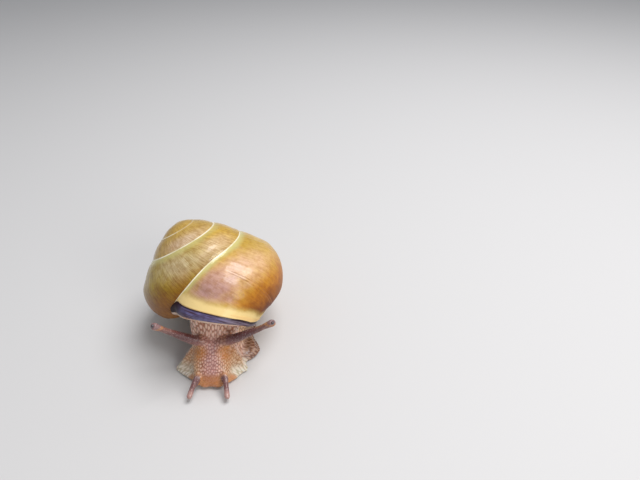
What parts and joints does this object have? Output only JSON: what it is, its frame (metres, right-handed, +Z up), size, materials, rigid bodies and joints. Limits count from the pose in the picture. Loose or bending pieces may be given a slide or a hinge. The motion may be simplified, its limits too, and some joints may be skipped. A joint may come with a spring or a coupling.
{
  "type": "grove snail",
  "caption": "Life-size still model of a yellow grove snail crawling with its feelers out: coiled glossy shell with a dark lip on a soft flat foot.",
  "frame": {"origin": "on the sole at floor level, under the middle of the foot", "axes": "+Z up from the flat sole; the head points along -Y and the tail along +Y; +X is the snail's left side"},
  "size_m": [0.0211, 0.0404, 0.018],
  "materials": {
    "shell_yellow": "glossy thin skin over a yellow shell with fine growth lines",
    "shell_ochre": "glossy olive yellow to golden brown with fine growth lines",
    "lip_dark": "smooth glossy dark brown lip",
    "mantle_peach": "moist soft flesh",
    "skin_tan": "moist skin with rows of long warts",
    "skin_orange": "moist, slightly see-through skin",
    "foot_cream": "moist pale foot edge with fine folds",
    "feeler_mauve": "moist fine-grained skin",
    "eye_black": "small dark shiny eye spot"
  },
  "bodies": {
    "root": {"shell_spire": "shell_ochre", "shell_body_whorl": "shell_yellow", "shell_lip": "lip_dark", "mantle_collar": "mantle_peach", "muzzle": "skin_orange", "head": "skin_tan", "neck": "skin_tan", "trunk": "skin_tan", "foot_front": "foot_cream", "foot_middle": "foot_cream", "foot_rear": "skin_tan", "tail": "skin_tan", "feeler_upper_right": "feeler_mauve", "feeler_upper_left": "feeler_mauve", "feeler_lower_right": "feeler_mauve", "feeler_lower_left": "feeler_mauve", "eye_right": "eye_black", "eye_left": "eye_black"}
  },
  "joints": []
}
